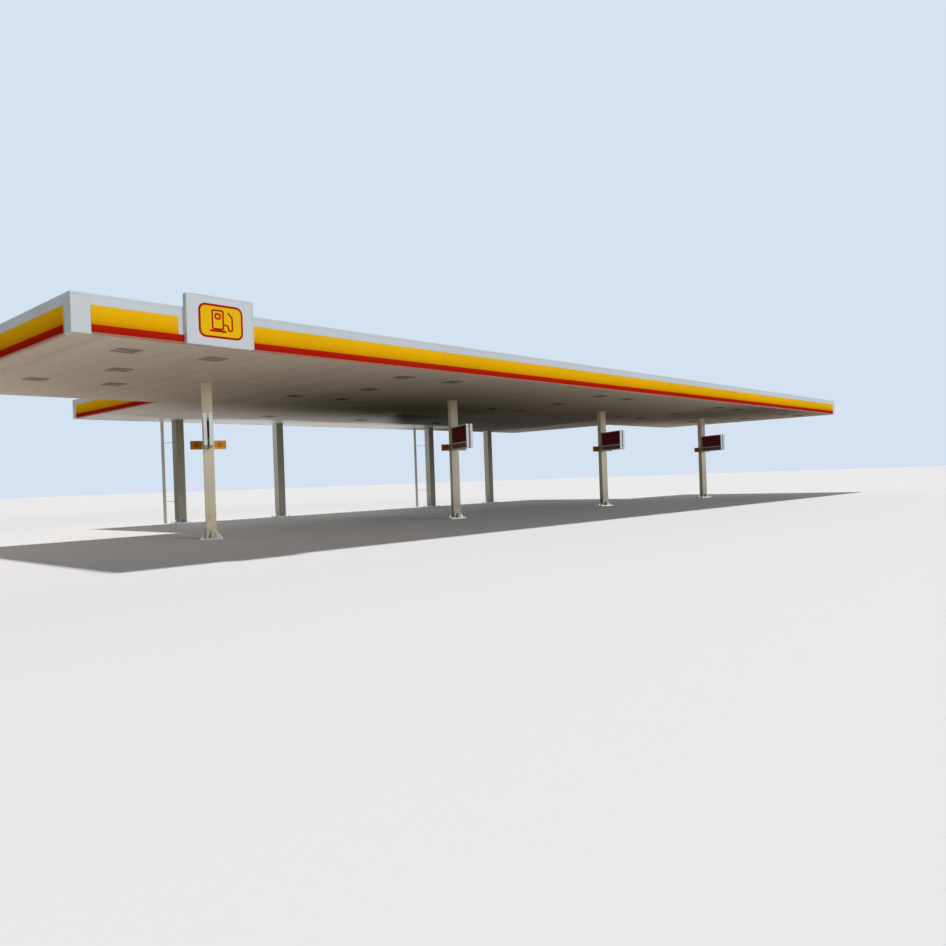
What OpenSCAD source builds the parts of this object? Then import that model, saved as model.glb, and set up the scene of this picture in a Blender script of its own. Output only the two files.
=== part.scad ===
// Filling station canopy: a long flat canopy on four columns, with a shorter
// wing joined to its rear side on four more columns.
// +X runs along the front fascia, +Y to the rear, +Z up, in millimetres.
// The origin is on the ground, under the middle of the whole canopy.

/* [Canopy] */
// Length of the main canopy over its end fascias
canopy_len = 39300; // [34000:100:39500]
// Depth of the main canopy over its front and rear fascias
canopy_depth = 10130; // [8000:10:12000]
// Length of the rear wing over its end fascias
wing_len = 26440; // [22000:10:28000]
// Depth of the wing, from the main canopy's rear fascia to its own
wing_depth = 6920; // [5000:10:8000]
// Height of the fascia's lower edge above the ground
clear_height = 4200; // [3800:10:5500]

/* [Fascia] */
// Height of the fascia panels
fascia_h = 720; // [700:10:1100]
// Thickness of the folded fascia sheet
fascia_t = 6; // [4:1:8]
// Width of the folded cap along the top of the fascia
cap_w = 120; // [80:5:200]
// Depth of the cap's inner fold
cap_fold = 40; // [20:5:60]
// Width of the lower return that carries the soffit
return_w = 75; // [50:5:250]
// Length of each plain corner panel along both sides
corner_len = 350; // [250:10:500]
// Height of the plain strip under the lower stripe
lower_strip = 30; // [20:1:80]
// Height of the lower stripe
red_h = 140; // [90:1:180]
// Height of the wide band above the stripe
yellow_h = 350; // [250:5:360]
// How far the bands stand out at their lower part
band_out = 20; // [15:1:110]
// How far the wide band stands out at its top edge
band_top_out = 8; // [5:1:14]
// Radius of the stripe's lower front edge
stripe_edge_r = 6; // [2:1:12]
// Space that the bands leave clear at the two inner corners
inner_gap = 160; // [130:10:300]

/* [Sign panel] */
// Width of the raised panel on the front fascia
panel_w = 1480; // [1000:10:1800]
// Height of the raised panel
panel_h = 990; // [800:10:1200]
// How far the raised panel stands out of the fascia
panel_out = 130; // [120:5:200]
// Distance from the canopy's left end to the panel's middle
panel_from_left = 2850; // [2300:10:6000]
// Radius of the panel's corners
panel_r = 25; // [5:1:60]
// Width of the panel's rim
panel_rim = 22; // [15:1:40]
// Depth of the panel's face behind its rim
panel_sink = 5; // [3:1:10]
// Gap between the wide band and the panel's left side
panel_gap = 117; // [20:1:160]

/* [Columns] */
// Spacing of the front columns
column_pitch = 9530; // [8500:10:10500]
// Width of the square front columns
front_col_w = 280; // [220:5:340]
// Turn of the front columns and their boards, in degrees
front_col_turn = -28.7; // [-35:0.1:-10]
// Width of the square rear columns
rear_col_w = 350; // [300:5:420]
// Distance from the wing's rear fascia to the rear columns' middle
rear_col_inset = 1000; // [800:10:1500]
// Wall of the column tubes
column_wall = 12; // [8:1:20]
// Outer corner radius of the column tubes
column_r = 24; // [14:1:30]
// Gap round a column where it goes through the soffit
column_gap = 5; // [3:1:15]
// How far the soffit collars reach out from the column
collar_w = 60; // [40:5:100]
// Thickness of the soffit collars
collar_t = 8; // [4:1:12]

/* [Base plates] */
// Thickness of the base plates
base_t = 30; // [20:1:40]
// How far the base plates reach out from the column
base_out = 140; // [120:5:180]
// Distance from a bolt hole's middle to the plate's edges
base_edge = 60; // [45:5:75]
// Radius of the bolt holes
bolt_hole_r = 14; // [10:0.5:18]
// Height of the stiffeners
stiffener_h = 180; // [120:5:260]
// Thickness of the stiffeners
stiffener_t = 16; // [10:1:20]
// Reach and height of a stiffener's blunt toe
stiffener_toe = 20; // [10:1:30]

/* [Roof steel] */
// Height of the cross beams
beam_h = 300; // [240:5:330]
// Width of the cross beams
beam_w = 150; // [120:5:200]
// Thickness of the cross beams' flanges
beam_flange = 14; // [10:1:20]
// Thickness of the cross beams' webs
beam_web = 10; // [8:1:14]
// How far the short wing beams reach in under the main roof
beam_lap = 2400; // [2000:10:2800]
// Height of the purlins
purlin_h = 110; // [80:5:130]
// Width of the purlins
purlin_w = 70; // [50:5:90]
// Thickness of the purlin channels
purlin_t = 5; // [3:1:8]
// Purlins in the main roof
main_purlins = 6; // [4:1:8]
// Purlins in the wing roof
wing_purlins = 4; // [3:1:6]
// Distance from a roof's edge to its first purlin
purlin_edge = 300; // [200:10:500]

/* [Roof deck] */
// Spacing of the deck's ribs
rib_pitch = 300; // [250:10:400]
// Height of the deck's ribs
rib_h = 40; // [25:1:50]
// Width of a rib at its top
rib_top_w = 60; // [40:1:80]
// Width of a rib at its foot
rib_foot_w = 110; // [90:1:150]
// Thickness of the deck sheet
deck_t = 5; // [3:1:8]

/* [Parapet brackets] */
// Ribs of the deck from one bracket to the next
bracket_ribs = 8; // [4:1:12]
// Length of a bracket's foot on the deck
bracket_foot = 140; // [110:5:200]
// Thickness of a bracket
bracket_t = 8; // [5:1:12]
// Height of a bracket's blunt toe
bracket_toe = 30; // [10:5:60]
// Least gap between a bracket and the ribs and the cap's fold beside it
bracket_gap = 8; // [3:1:15]

/* [Rainwater] */
// Width of the box gutter
gutter_w = 260; // [200:10:320]
// Thickness of the gutter sheet
gutter_t = 5; // [3:1:8]
// Outer radius of the downpipes
pipe_r = 62; // [50:1:75]
// Wall of the downpipes
pipe_wall = 5; // [3:1:8]
// How far each downpipe stands to the left of its column's middle
pipe_shift = 240; // [200:5:300]
// Gap round a downpipe in the soffit
pipe_gap = 4; // [2:1:10]

/* [Soffit] */
// Thickness of the soffit planks
soffit_t = 40; // [30:1:60]
// Spacing of the joints between the planks
plank_w = 300; // [250:10:400]
// Width of a joint
joint_w = 14; // [8:1:24]
// Depth of a joint
joint_d = 10; // [5:1:20]

/* [Lights] */
// Width of the square light frames
light_w = 470; // [420:5:560]
// Thickness of the light frames
light_t = 16; // [10:1:24]
// Width of the light bodies above the soffit
light_body_w = 400; // [360:5:410]
// Height of the light bodies above the soffit's underside
light_body_h = 120; // [90:5:160]
// Gap round a light's body in the soffit
light_gap = 2; // [1:1:4]
// Width of the rim round a light's lens
light_rim = 30; // [20:1:45]
// Depth of the lens behind the rim
light_sink = 8; // [4:1:9]
// Distance from a group's middle light to its corner lights, along the canopy
light_group_x = 960; // [700:10:1200]
// Distance from a group's middle light to its corner lights, across the canopy
light_group_y = 2560; // [2000:10:3000]
// How far the middle lights lie in front of the front columns
light_shift = 1120; // [800:10:1300]
// How far the end groups are moved towards the canopy's ends
end_light_shift = 130; // [0:10:300]
// Spacing of the lights under the wing
wing_light_pitch = 4765; // [4000:5:5200]

/* [Column boards] */
// Length of a board
board_len = 1640; // [1200:10:2000]
// Height of a board
board_h = 798; // [600:2:1000]
// Thickness of a board
board_t = 80; // [50:2:90]
// Gap between the two boards of a pair
board_gap = 55; // [40:5:140]
// Gap between a column and the boards on it
board_start = 20; // [10:5:60]
// Height of the boards' lower edge above the ground
board_z = 2436; // [2200:2:2800]
// Height of the coloured panel at the top of a board
board_panel_h = 560; // [400:5:700]
// Width of the rim round the coloured panel
board_rim = 24; // [15:1:40]
// Thickness of the coloured panel
board_panel_t = 6; // [4:1:10]
// Length of the arms that carry the boards
arm_len = 1400; // [1000:10:1600]
// Height of an arm
arm_h = 60; // [40:5:80]
// Distance from a board's upper and lower edges to the arms
arm_edge = 130; // [90:5:200]

/* [Number flags] */
// Width of a flag
flag_w = 320; // [200:5:400]
// Height of a flag
flag_h = 230; // [150:5:300]
// Thickness of a flag
flag_t = 20; // [12:1:30]
// Corner radius of a flag
flag_r = 20; // [5:1:40]
// Height of the flags' lower edge above the ground
flag_z = 2415; // [2200:5:2800]

/* [Hidden] */
$fn = 48;
eps = 1;

// Plan of the canopy
total_depth = panel_out + canopy_depth + wing_depth + band_out;
front_y = panel_out - total_depth / 2;
mid_y = front_y + canopy_depth;
back_y = mid_y + wing_depth;
half_len = canopy_len / 2;
half_wing = wing_len / 2;

// Heights
soffit_z = clear_height + fascia_t;
beam_z = soffit_z + soffit_t;
purlin_z = beam_z + beam_h;
deck_z = purlin_z + purlin_h;
top_z = clear_height + fascia_h;

// Columns
front_col_y = front_y + canopy_depth / 2;
rear_col_y = back_y - rear_col_inset;
front_col_x = [for (i = [0:3]) (i - 1.5) * column_pitch];
rear_col_x = [for (i = [-2, -1, 1, 2]) i * column_pitch / 2];
front_base_w = front_col_w + 2 * base_out;
rear_base_w = rear_col_w + 2 * base_out;

// Rainwater
gutter_y = back_y - fascia_t - gutter_w / 2;
pipe_x = [rear_col_x[0] - pipe_shift, rear_col_x[2] - pipe_shift];

// Lights
end_light_x = (half_len + front_col_x[3]) / 2 + end_light_shift;
light_group_centres = [-end_light_x, -column_pitch, 0, column_pitch, end_light_x];
light_row_y = front_col_y - light_shift;
main_light_places = [
  for (x = light_group_centres)
    for (d = [[0, 0], [-1, -1], [1, -1], [-1, 1], [1, 1]])
      [x + d[0] * light_group_x, light_row_y + d[1] * light_group_y]
];
wing_light_places = [
  for (i = [-1.5:1:1.5]) [i * wing_light_pitch, (mid_y + rear_col_y) / 2]
];

// Sign panel
panel_x = panel_from_left - half_len;

// Heights of the bands above the fascia's lower edge
stripe_top = lower_strip + red_h;
band_top = stripe_top + yellow_h;

// Boards
board_x = front_col_w / 2 + board_start;
arm_z = [board_z + arm_edge, board_z + board_h - arm_edge - arm_h];

module rounded_square(w, h, r) {
  square([w, h - 2 * r], center = true);
  square([w - 2 * r, h], center = true);
  for (x = [-1, 1], y = [-1, 1])
    translate([x * (w / 2 - r), y * (h / 2 - r)]) circle(r);
}

// One straight run along a side: start is its left end seen from outside,
// turn is 0 at the front, 90 on the right, 180 at the rear and 270 on the left.
module run(start, turn, length)
  translate([start[0], start[1], clear_height]) rotate([0, 0, turn])
    rotate([90, 0, 90]) linear_extrude(length) children();

// Outward is -Y in these three sections.
module fascia_section()
  polygon([
    [0, 0], [return_w, 0], [return_w, fascia_t], [fascia_t, fascia_t],
    [fascia_t, fascia_h - fascia_t], [cap_w - fascia_t, fascia_h - fascia_t],
    [cap_w - fascia_t, fascia_h - cap_fold], [cap_w, fascia_h - cap_fold],
    [cap_w, fascia_h], [0, fascia_h]
  ]);

module yellow_section()
  polygon(concat(
    [[0, stripe_top]],
    [
      for (a = [90:-10:0])
        [
          -band_top_out - (band_out - band_top_out) * sin(a),
          band_top - yellow_h * (1 - cos(a))
        ]
    ],
    [[0, band_top]]
  ));

module red_section()
  polygon(concat(
    [[0, lower_strip], [0, stripe_top], [-band_out, stripe_top]],
    [
      for (a = [180:15:270])
        [
          -band_out + stripe_edge_r * (1 + cos(a)),
          lower_strip + stripe_edge_r * (1 + sin(a))
        ]
    ]
  ));

// The sides between their corner panels: start, turn and length
front_run = [[corner_len - half_len, front_y], 0, canopy_len - 2 * corner_len];
right_run = [[half_len, front_y + corner_len], 90, canopy_depth - 2 * corner_len];
left_run = [[-half_len, mid_y - corner_len], 270, canopy_depth - 2 * corner_len];
rear_len = half_len - half_wing - corner_len;
rear_right_run = [[half_len - corner_len, mid_y], 180, rear_len];
rear_left_run = [[-half_wing, mid_y], 180, rear_len];
wing_side_len = wing_depth - corner_len + fascia_t;
wing_right_run = [[half_wing, mid_y - fascia_t], 90, wing_side_len];
wing_left_run = [[-half_wing, back_y - corner_len], 270, wing_side_len];
wing_rear_run = [[half_wing - corner_len, back_y], 180, wing_len - 2 * corner_len];

module fascia(r) color("whitesmoke") run(r[0], r[1], r[2]) fascia_section();

// A band on a side, shortened at its left end and at its right end
module band_run(r, cut_left, cut_right) {
  along = [cos(r[1]), sin(r[1])];
  run(r[0] + cut_left * along, r[1], r[2] - cut_left - cut_right) children();
}

module side_bands() {
  band_run(left_run, 0, 0) children();
  band_run(right_run, 0, 0) children();
}

module rear_bands() {
  band_run(rear_right_run, 0, inner_gap) children();
  band_run(rear_left_run, inner_gap, 0) children();
  band_run(wing_right_run, inner_gap + fascia_t, 0) children();
  band_run(wing_left_run, 0, inner_gap + fascia_t) children();
  band_run(wing_rear_run, 0, 0) children();
}

module front_bands(gap) {
  left_cut = panel_x - panel_w / 2 - front_run[0][0];
  right_cut = left_cut + panel_w;
  band_run(front_run, 0, front_run[2] - left_cut + gap) children();
  band_run(front_run, right_cut, 0) children();
}

// A corner panel whose outer faces are -X and -Y
module corner_panel() {
  inner = corner_len - fascia_t;
  difference() {
    cube([corner_len, corner_len, fascia_h]);
    translate([fascia_t, fascia_t, fascia_t])
      cube([inner + eps, inner + eps, fascia_h - 2 * fascia_t]);
    translate([return_w, return_w, -eps]) cube([corner_len, corner_len, fascia_h / 2]);
    translate([cap_w, cap_w, fascia_h / 2]) cube([corner_len, corner_len, fascia_h]);
  }
}

module corner_panels() color("whitesmoke")
  for (c = [
    [-half_len, front_y, 0], [half_len, front_y, 90], [half_len, mid_y, 180],
    [half_wing, back_y, 180], [-half_wing, back_y, 270], [-half_len, mid_y, 270]
  ])
    translate([c[0], c[1], clear_height]) rotate([0, 0, c[2]]) corner_panel();

module sign_panel() color("white")
  translate([panel_x, front_y, clear_height + panel_h / 2]) rotate([90, 0, 0])
    difference() {
      linear_extrude(panel_out) rounded_square(panel_w, panel_h, panel_r);
      translate([0, 0, panel_out - panel_sink]) linear_extrude(panel_sink + eps)
        square([panel_w - 2 * panel_rim, panel_h - 2 * panel_rim], center = true);
    }

// Columns
module at_front_column(i)
  translate([front_col_x[i], front_col_y, 0]) rotate([0, 0, front_col_turn]) children();

module at_rear_column(i) translate([rear_col_x[i], rear_col_y, 0]) children();

module column(w) color("wheat")
  translate([0, 0, base_t]) linear_extrude(beam_z - base_t) difference() {
    rounded_square(w, w, column_r);
    rounded_square(w - 2 * column_wall, w - 2 * column_wall, column_r - column_wall);
  }

module stiffener(w)
  translate([w / 2, stiffener_t / 2, 0]) rotate([90, 0, 0]) linear_extrude(stiffener_t)
    polygon([
      [0, base_t / 2], [0, base_t + stiffener_h], [stiffener_toe, base_t + stiffener_h],
      [base_out - stiffener_toe, base_t + stiffener_toe],
      [base_out - stiffener_toe, base_t / 2]
    ]);

module base_plate(w) {
  plate_w = w + 2 * base_out;
  hole = plate_w / 2 - base_edge;
  difference() {
    translate([-plate_w / 2, -plate_w / 2, 0]) cube([plate_w, plate_w, base_t]);
    for (x = [-hole, hole], y = [-hole, hole])
      translate([x, y, -eps]) cylinder(r = bolt_hole_r, h = base_t + 2 * eps);
  }
  for (a = [0:90:270]) rotate([0, 0, a]) stiffener(w);
}

module front_base_plates() color("gray")
  for (i = [0:3]) at_front_column(i) base_plate(front_col_w);

module rear_base_plates() color("gray")
  for (i = [0:3]) at_rear_column(i) base_plate(rear_col_w);

module collar(w)
  translate([0, 0, soffit_z - collar_t]) linear_extrude(collar_t) difference() {
    square(w + 2 * collar_w, center = true);
    rounded_square(w, w, column_r);
  }

module soffit_collars() color("wheat") {
  for (i = [0:3]) at_front_column(i) collar(front_col_w);
  for (i = [0:3]) at_rear_column(i) collar(rear_col_w);
}

// Roof steel
module beam(x, y0, y1)
  translate([x, y1, beam_z]) rotate([90, 0, 0]) linear_extrude(y1 - y0) {
    translate([-beam_w / 2, 0]) square([beam_w, beam_flange]);
    translate([-beam_w / 2, beam_h - beam_flange]) square([beam_w, beam_flange]);
    translate([-beam_web / 2, 0]) square([beam_web, beam_h]);
  }

module cross_beams() color("gray") {
  roof_front = front_y + fascia_t;
  roof_back = back_y - fascia_t;
  for (x = [front_col_x[0], front_col_x[3]]) beam(x, roof_front, mid_y - fascia_t);
  for (x = [front_col_x[1], front_col_x[2]]) beam(x, roof_front, roof_back);
  for (x = [rear_col_x[0], rear_col_x[3]]) beam(x, mid_y - beam_lap, roof_back);
}

module purlin(half, y)
  translate([-half, y, purlin_z]) rotate([90, 0, 90]) linear_extrude(2 * half)
    difference() {
      translate([-purlin_w / 2, 0]) square([purlin_w, purlin_h]);
      translate([purlin_t - purlin_w / 2, purlin_t])
        square([purlin_w, purlin_h - 2 * purlin_t]);
    }

module purlins() color("silver") {
  main_step = (canopy_depth - 2 * purlin_edge) / (main_purlins - 1);
  wing_step = (wing_depth - gutter_w - 2 * purlin_edge) / (wing_purlins - 1);
  for (i = [0:main_purlins - 1])
    purlin(half_len - fascia_t, front_y + purlin_edge + i * main_step);
  for (i = [0:wing_purlins - 1])
    purlin(half_wing - fascia_t, mid_y + purlin_edge + i * wing_step);
}

// Ribbed sheet, with its ribs running across the canopy
function rib_line(first, count, lift) = [
  for (i = [0:count - 1])
    for (p = [
      [-rib_foot_w / 2, 0], [-rib_top_w / 2, rib_h], [rib_top_w / 2, rib_h], [rib_foot_w / 2, 0]
    ])
      [first + i * rib_pitch + p[0], p[1] + lift]
];

function reversed(list) = [for (i = [len(list) - 1:-1:0]) list[i]];

// An even number of ribs leaves a flat pan at x = 0 and a flat edge for the brackets.
function rib_count(half) =
  2 * floor((half - bracket_foot - bracket_gap - rib_foot_w / 2) / rib_pitch + 0.5);

module deck(half, y0, y1) {
  count = rib_count(half);
  first = -(count - 1) * rib_pitch / 2;
  translate([0, y1, deck_z]) rotate([90, 0, 0]) linear_extrude(y1 - y0)
    polygon(concat(
      [[-half, 0]], rib_line(first, count, 0), [[half, 0], [half, deck_t]],
      reversed(rib_line(first, count, deck_t)), [[-half, deck_t]]
    ));
}

module main_deck() color("lightgray")
  deck(half_len - fascia_t, front_y + fascia_t, mid_y - fascia_t);

module wing_deck() color("lightgray")
  deck(half_wing - fascia_t, mid_y - fascia_t, gutter_y - gutter_w / 2);

// Gusset plates that stand on the deck and hold the fascia's back and cap
module bracket_section() {
  foot_z = deck_z + deck_t - clear_height;
  head_z = fascia_h - fascia_t;
  head_x = cap_w - fascia_t - bracket_gap;
  polygon([
    [fascia_t, foot_z], [fascia_t + bracket_foot, foot_z],
    [fascia_t + bracket_foot, foot_z + bracket_toe],
    [head_x, fascia_h - cap_fold - bracket_gap], [head_x, head_z], [fascia_t, head_z]
  ]);
}

// A bracket on a side, at a distance from that side's start
module bracket(r, s)
  run(r[0] + (s - bracket_t / 2) * [cos(r[1]), sin(r[1])], r[1], bracket_t)
    bracket_section();

// Along the ribs' ends the brackets stand in the flat pans between the ribs.
module end_brackets(r) {
  step = bracket_ribs * rib_pitch;
  reach = ceil(half_len / step);
  for (i = [-reach:reach]) {
    s = (i * step - r[0][0]) * cos(r[1]);
    if (s > bracket_t && s < r[2] - bracket_t) bracket(r, s);
  }
}

// Beside the ribs they are spread evenly.
module side_brackets(r) {
  bays = round(r[2] / (bracket_ribs * rib_pitch));
  for (i = [0.5:1:bays]) bracket(r, i * r[2] / bays);
}

module parapet_brackets() color("silver") {
  for (r = [front_run, rear_right_run, rear_left_run]) end_brackets(r);
  for (r = [left_run, right_run, wing_left_run, wing_right_run]) side_brackets(r);
}

// Rainwater
module rear_gutter() color("silver")
  difference() {
    length = 2 * (half_wing - fascia_t);
    height = deck_z + deck_t - purlin_z;
    translate([-length / 2, gutter_y - gutter_w / 2, purlin_z])
      cube([length, gutter_w, height]);
    translate([gutter_t - length / 2, gutter_y + gutter_t - gutter_w / 2, purlin_z + gutter_t])
      cube([length - 2 * gutter_t, gutter_w - 2 * gutter_t, height]);
    for (x = pipe_x)
      translate([x, gutter_y, purlin_z - eps])
        cylinder(r = pipe_r - pipe_wall, h = gutter_t + 2 * eps);
  }

module downpipes() color("white")
  for (x = pipe_x)
    translate([x, gutter_y, 0]) difference() {
      cylinder(r = pipe_r, h = purlin_z);
      translate([0, 0, -eps]) cylinder(r = pipe_r - pipe_wall, h = purlin_z + 2 * eps);
    }

// Soffit planks run across the canopy and lie on the fascias' lower returns.
module planks(half, y0, y1) {
  joints = floor(half / plank_w);
  translate([0, y1, soffit_z]) rotate([90, 0, 0]) linear_extrude(y1 - y0)
    polygon(concat(
      [[-half, soffit_t], [-half, 0]],
      [
        for (i = [-joints:joints])
          for (p = [[-joint_w / 2, 0], [0, joint_d], [joint_w / 2, 0]])
            [i * plank_w + p[0], p[1]]
      ],
      [[half, 0], [half, soffit_t]]
    ));
}

module column_hole(w)
  translate([0, 0, soffit_z - eps]) linear_extrude(soffit_t + 2 * eps)
    square(w + 2 * column_gap, center = true);

module light_holes(places)
  for (p = places)
    translate([p[0], p[1], soffit_z - eps]) linear_extrude(soffit_t + 2 * eps)
      square(light_body_w + 2 * light_gap, center = true);

module main_soffit() color("antiquewhite")
  difference() {
    planks(half_len - fascia_t, front_y + fascia_t, mid_y - fascia_t);
    for (i = [0:3]) at_front_column(i) column_hole(front_col_w);
    light_holes(main_light_places);
  }

module wing_soffit() color("antiquewhite")
  difference() {
    planks(half_wing - fascia_t, mid_y - fascia_t, back_y - fascia_t);
    for (i = [0:3]) at_rear_column(i) column_hole(rear_col_w);
    light_holes(wing_light_places);
    for (x = pipe_x)
      translate([x, gutter_y, soffit_z - eps])
        cylinder(r = pipe_r + pipe_gap, h = soffit_t + 2 * eps);
  }

// A light: a frame under the soffit, with its body in the hole above it
module soffit_light() {
  lens_w = light_w - 2 * light_rim;
  difference() {
    union() {
      translate([0, 0, -light_t]) linear_extrude(light_t) square(light_w, center = true);
      linear_extrude(light_body_h) square(light_body_w, center = true);
    }
    translate([0, 0, -light_t - eps]) linear_extrude(light_sink + eps)
      square(lens_w, center = true);
  }
}

module main_lights() color("dimgray")
  for (p = main_light_places) translate([p[0], p[1], soffit_z]) soffit_light();

module wing_lights() color("dimgray")
  for (p = wing_light_places) translate([p[0], p[1], soffit_z]) soffit_light();

// Boards reach forward from a front column, one on each side of the arms.
// In these modules -Y points along the boards, away from the column.
module board(side)
  translate([side * (board_gap + board_t) / 2, -board_x - board_len / 2, board_z])
    difference() {
      translate([-board_t / 2, -board_len / 2, 0]) cube([board_t, board_len, board_h]);
      translate([side * (board_t - board_panel_t + eps) / 2, 0, 0]) board_recess();
    }

panel_low = board_h - board_rim - board_panel_h;

module board_recess()
  translate([-(board_panel_t + eps) / 2, board_rim - board_len / 2, panel_low])
    cube([board_panel_t + eps, board_len - 2 * board_rim, board_panel_h]);

module board_pair() color("white")
  for (side = [-1, 1]) board(side);

module board_panels() color("maroon")
  for (i = [0:3], side = [-1, 1])
    at_front_column(i)
      translate([
        side * (board_gap / 2 + board_t - board_panel_t / 2) - board_panel_t / 2,
        board_rim - board_x - board_len, board_z + panel_low
      ])
        cube([board_panel_t, board_len - 2 * board_rim, board_panel_h]);

module board_arms() color("silver")
  for (i = [0:3], z = arm_z)
    at_front_column(i)
      translate([-board_gap / 2, -front_col_w / 2 - arm_len, z])
        cube([board_gap, arm_len, arm_h]);

module number_flags() color("orange")
  for (i = [0:3], side = [-1, 1])
    at_front_column(i)
      translate([side * (front_col_w + flag_w) / 2, flag_t / 2, flag_z + flag_h / 2])
        rotate([90, 0, 0]) linear_extrude(flag_t) rounded_square(flag_w, flag_h, flag_r);

module yellow() color("gold") children();
module red() color("firebrick") children();

at_front_column(0) column(front_col_w);  // front_column_1
at_front_column(1) column(front_col_w);  // front_column_2
at_front_column(2) column(front_col_w);  // front_column_3
at_front_column(3) column(front_col_w);  // front_column_4
at_rear_column(0) column(rear_col_w);  // rear_column_1
at_rear_column(1) column(rear_col_w);  // rear_column_2
at_rear_column(2) column(rear_col_w);  // rear_column_3
at_rear_column(3) column(rear_col_w);  // rear_column_4
front_base_plates();
rear_base_plates();
soffit_collars();
cross_beams();
purlins();
main_deck();
wing_deck();
parapet_brackets();
rear_gutter();
downpipes();
main_soffit();
wing_soffit();
main_lights();
wing_lights();
fascia(front_run);  // front_fascia
fascia(right_run);  // right_fascia
fascia(left_run);  // left_fascia
fascia(rear_left_run);  // rear_left_fascia
fascia(rear_right_run);  // rear_right_fascia
fascia(wing_left_run);  // wing_left_fascia
fascia(wing_right_run);  // wing_right_fascia
fascia(wing_rear_run);  // wing_rear_fascia
corner_panels();
yellow() front_bands(panel_gap) yellow_section();  // front_yellow_bands
yellow() side_bands() yellow_section();  // side_yellow_bands
yellow() rear_bands() yellow_section();  // rear_yellow_bands
red() front_bands(0) red_section();  // front_red_stripes
red() side_bands() red_section();  // side_red_stripes
red() rear_bands() red_section();  // rear_red_stripes
sign_panel();
at_front_column(0) board_pair();  // board_pair_1
at_front_column(1) board_pair();  // board_pair_2
at_front_column(2) board_pair();  // board_pair_3
at_front_column(3) board_pair();  // board_pair_4
board_arms();
board_panels();
number_flags();
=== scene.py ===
"""Looks of the filling station canopy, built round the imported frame, in metres.

+X runs along the front fascia, +Y to the rear and +Z up. The ground is at z = 0.
"""
import math

import bmesh
import bpy
from mathutils import Matrix, Vector


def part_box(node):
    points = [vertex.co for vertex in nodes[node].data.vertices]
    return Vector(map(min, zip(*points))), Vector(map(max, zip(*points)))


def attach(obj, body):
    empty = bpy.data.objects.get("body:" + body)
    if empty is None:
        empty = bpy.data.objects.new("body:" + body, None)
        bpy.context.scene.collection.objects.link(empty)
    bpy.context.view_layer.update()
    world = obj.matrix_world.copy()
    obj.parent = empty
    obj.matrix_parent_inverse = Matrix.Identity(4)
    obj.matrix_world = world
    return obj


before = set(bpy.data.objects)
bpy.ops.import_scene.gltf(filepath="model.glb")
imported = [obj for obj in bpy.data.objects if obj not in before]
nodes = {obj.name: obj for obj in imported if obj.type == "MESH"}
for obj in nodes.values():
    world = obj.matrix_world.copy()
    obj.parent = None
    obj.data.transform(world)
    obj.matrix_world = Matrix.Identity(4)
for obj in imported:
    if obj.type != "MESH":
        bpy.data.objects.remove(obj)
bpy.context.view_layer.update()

# Places taken from the frame
FRONT_LOW, FRONT_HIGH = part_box("front_fascia")
LOW_Z, TOP_Z = FRONT_LOW.z, FRONT_HIGH.z
FRONT_Y = FRONT_LOW.y
HALF_LEN = -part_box("left_fascia")[0].x
MID_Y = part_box("rear_left_fascia")[1].y
HALF_WING = -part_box("wing_left_fascia")[0].x
BACK_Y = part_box("wing_rear_fascia")[1].y
CORNER_LEN = FRONT_LOW.x + HALF_LEN
CAP_W = FRONT_HIGH.y - FRONT_LOW.y
YELLOW_LOW, YELLOW_HIGH = (corner.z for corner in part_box("front_yellow_bands"))
RED_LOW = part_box("front_red_stripes")[0].z
SOFFIT_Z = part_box("main_soffit")[0].z
DECK_LOW, DECK_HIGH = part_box("main_deck")
WING_DECK_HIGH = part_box("wing_deck")[1]
GUTTER_LOW, GUTTER_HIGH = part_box("rear_gutter")

# The grid of fascia panels: whole panels along the front and along the left and right sides
FRONT_PANELS, SIDE_PANELS = 13, 3
SIDE_LOW, SIDE_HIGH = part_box("left_fascia")
PANEL_X = (FRONT_HIGH.x - FRONT_LOW.x) / FRONT_PANELS
PANEL_Y = (SIDE_HIGH.y - SIDE_LOW.y) / SIDE_PANELS
SIDE_MID_Y = (SIDE_LOW.y + SIDE_HIGH.y) / 2

# Sizes of the solids that no box gives
SHEET = 0.006
RETURN_W = 0.075
BAND_OUT, BAND_TOP_OUT = 0.02, 0.008
FRONT_TURN = math.radians(-28.7)
FRONT_TUBE, REAR_TUBE, TUBE_R = 0.28, 0.35, 0.024
BASE_T, BASE_OUT, BOLT_EDGE = 0.03, 0.14, 0.06
COLLAR_W, COLLAR_T = 0.06, 0.008
LIGHT_RIM, LIGHT_SINK = 0.03, 0.008
PLANK_W = 0.3
RIB_PITCH, RIB_H, RIB_FOOT_W, DECK_T = 0.3, 0.04, 0.11, 0.005
DECK_EDGE = 0.148
PIPE_R = 0.062
BOARD_GAP, BOARD_T, BOARD_START, BOARD_W = 0.055, 0.08, 0.02, 1.64
BOARD_RIM, BOARD_PANEL_H = 0.024, 0.56
ARM_H, ARM_EDGE = 0.06, 0.13
FLAG_W, FLAG_T = 0.32, 0.02
PANEL_RIM, PANEL_SINK = 0.022, 0.005

# How far a fitting stands off the face under it
SEAT = 0.0002


def new_object(name, data):
    thing = bpy.data.objects.new(name, data)
    bpy.context.scene.collection.objects.link(thing)
    return thing


def make_camera(place, angles, lens, shift, reach=2000):
    """A camera with its yaw, pitch and roll in degrees."""
    data = bpy.data.cameras.new("camera")
    data.lens, data.clip_end = lens, reach
    data.shift_x, data.shift_y = shift
    camera = new_object("camera", data)
    yaw, pitch, roll = (math.radians(angle) for angle in angles)
    camera.matrix_world = moved(*place) @ turned(yaw) @ turned(QUARTER + pitch, "X") @ turned(roll)
    bpy.context.scene.camera = camera


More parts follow.
